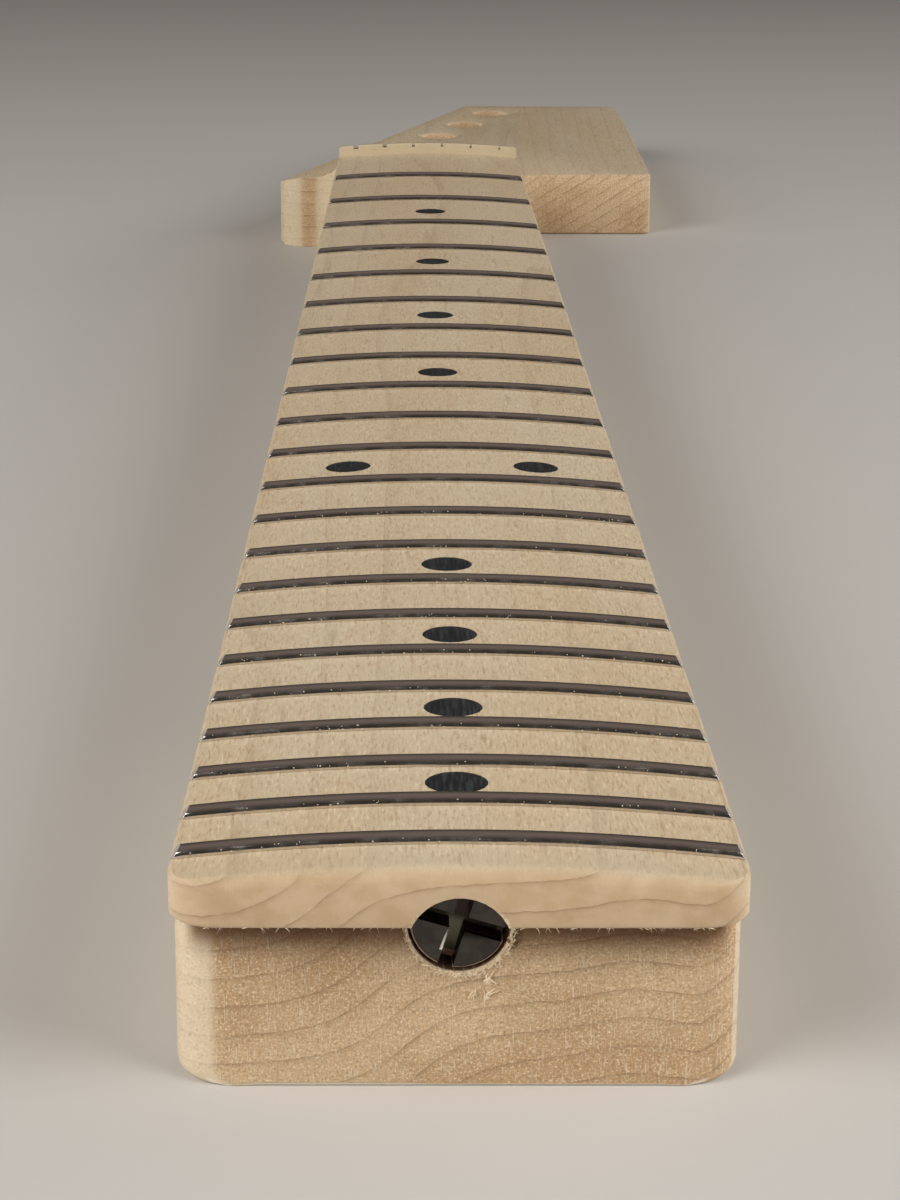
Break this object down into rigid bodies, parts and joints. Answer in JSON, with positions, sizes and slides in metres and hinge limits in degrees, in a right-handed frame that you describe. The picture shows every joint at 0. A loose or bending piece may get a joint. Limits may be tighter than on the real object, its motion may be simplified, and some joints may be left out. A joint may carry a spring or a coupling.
{
  "type": "electric guitar neck",
  "caption": "One-piece maple bolt-on electric guitar neck with a radiused, fretted board, overhanging end, unshaped in-line headstock and a truss rod adjusted at the heel.",
  "frame": {"origin": "on the flat back of the heel, in the middle of its width and of the 76 mm flat that bolts to a body", "axes": "+Y along the neck from the heel to the headstock, +X towards the treble side, +Z out of the fretted face"},
  "size_m": [0.0944, 0.6442, 0.028],
  "materials": {
    "maple": "pale maple, sanded and unfinished",
    "walnut": "dark walnut, sanded flush",
    "fret_wire": "polished nickel silver",
    "marker_plastic": "black inlay, sanded flush",
    "bone": "unbleached bone, polished",
    "rod_steel": "drawn steel",
    "black_steel": "blackened, machined steel"
  },
  "bodies": {
    "fretted_neck": {"neck": "maple", "skunk_stripe": "walnut", "headstock_plug": "walnut", "truss_rod": "rod_steel", "truss_rod_anchor": "rod_steel", "fret_01": "fret_wire", "fret_02": "fret_wire", "fret_03": "fret_wire", "fret_04": "fret_wire", "fret_05": "fret_wire", "fret_06": "fret_wire", "fret_07": "fret_wire", "fret_08": "fret_wire", "fret_09": "fret_wire", "fret_10": "fret_wire", "fret_11": "fret_wire", "fret_12": "fret_wire", "fret_13": "fret_wire", "fret_14": "fret_wire", "fret_15": "fret_wire", "fret_16": "fret_wire", "fret_17": "fret_wire", "fret_18": "fret_wire", "fret_19": "fret_wire", "fret_20": "fret_wire", "fret_21": "fret_wire", "fret_22": "fret_wire", "marker_dot_03": "marker_plastic", "marker_dot_05": "marker_plastic", "marker_dot_07": "marker_plastic", "marker_dot_09": "marker_plastic", "marker_dot_12_bass": "marker_plastic", "marker_dot_12_treble": "marker_plastic", "marker_dot_15": "marker_plastic", "marker_dot_17": "marker_plastic", "marker_dot_19": "marker_plastic", "marker_dot_21": "marker_plastic", "side_dot_03": "marker_plastic", "side_dot_05": "marker_plastic", "side_dot_07": "marker_plastic", "side_dot_09": "marker_plastic", "side_dot_12_heel_side": "marker_plastic", "side_dot_12_nut_side": "marker_plastic", "side_dot_15": "marker_plastic", "side_dot_17": "marker_plastic", "side_dot_19": "marker_plastic", "side_dot_21": "marker_plastic", "string_nut": "bone"},
    "rod_washer": {"truss_rod_washer": "rod_steel"},
    "rod_nut": {"truss_rod_nut": "black_steel"}
  },
  "joints": [
    {"name": "rod_nut_advance", "type": "slide", "parent": "fretted_neck", "child": "rod_washer", "axis": [0, 1, 0], "range_m": [-0.0011, 0.00035]},
    {"name": "rod_nut_turn", "type": "hinge", "parent": "rod_washer", "child": "rod_nut", "pos_m": [0, -0.0318, 0.0174], "axis": [0, 1, 0], "range_deg": [-480, 150]}
  ],
  "couplings": [
    {"joint": "rod_nut_advance", "follows": "rod_nut_turn", "m_per_rad": 0.00012633}
  ]
}
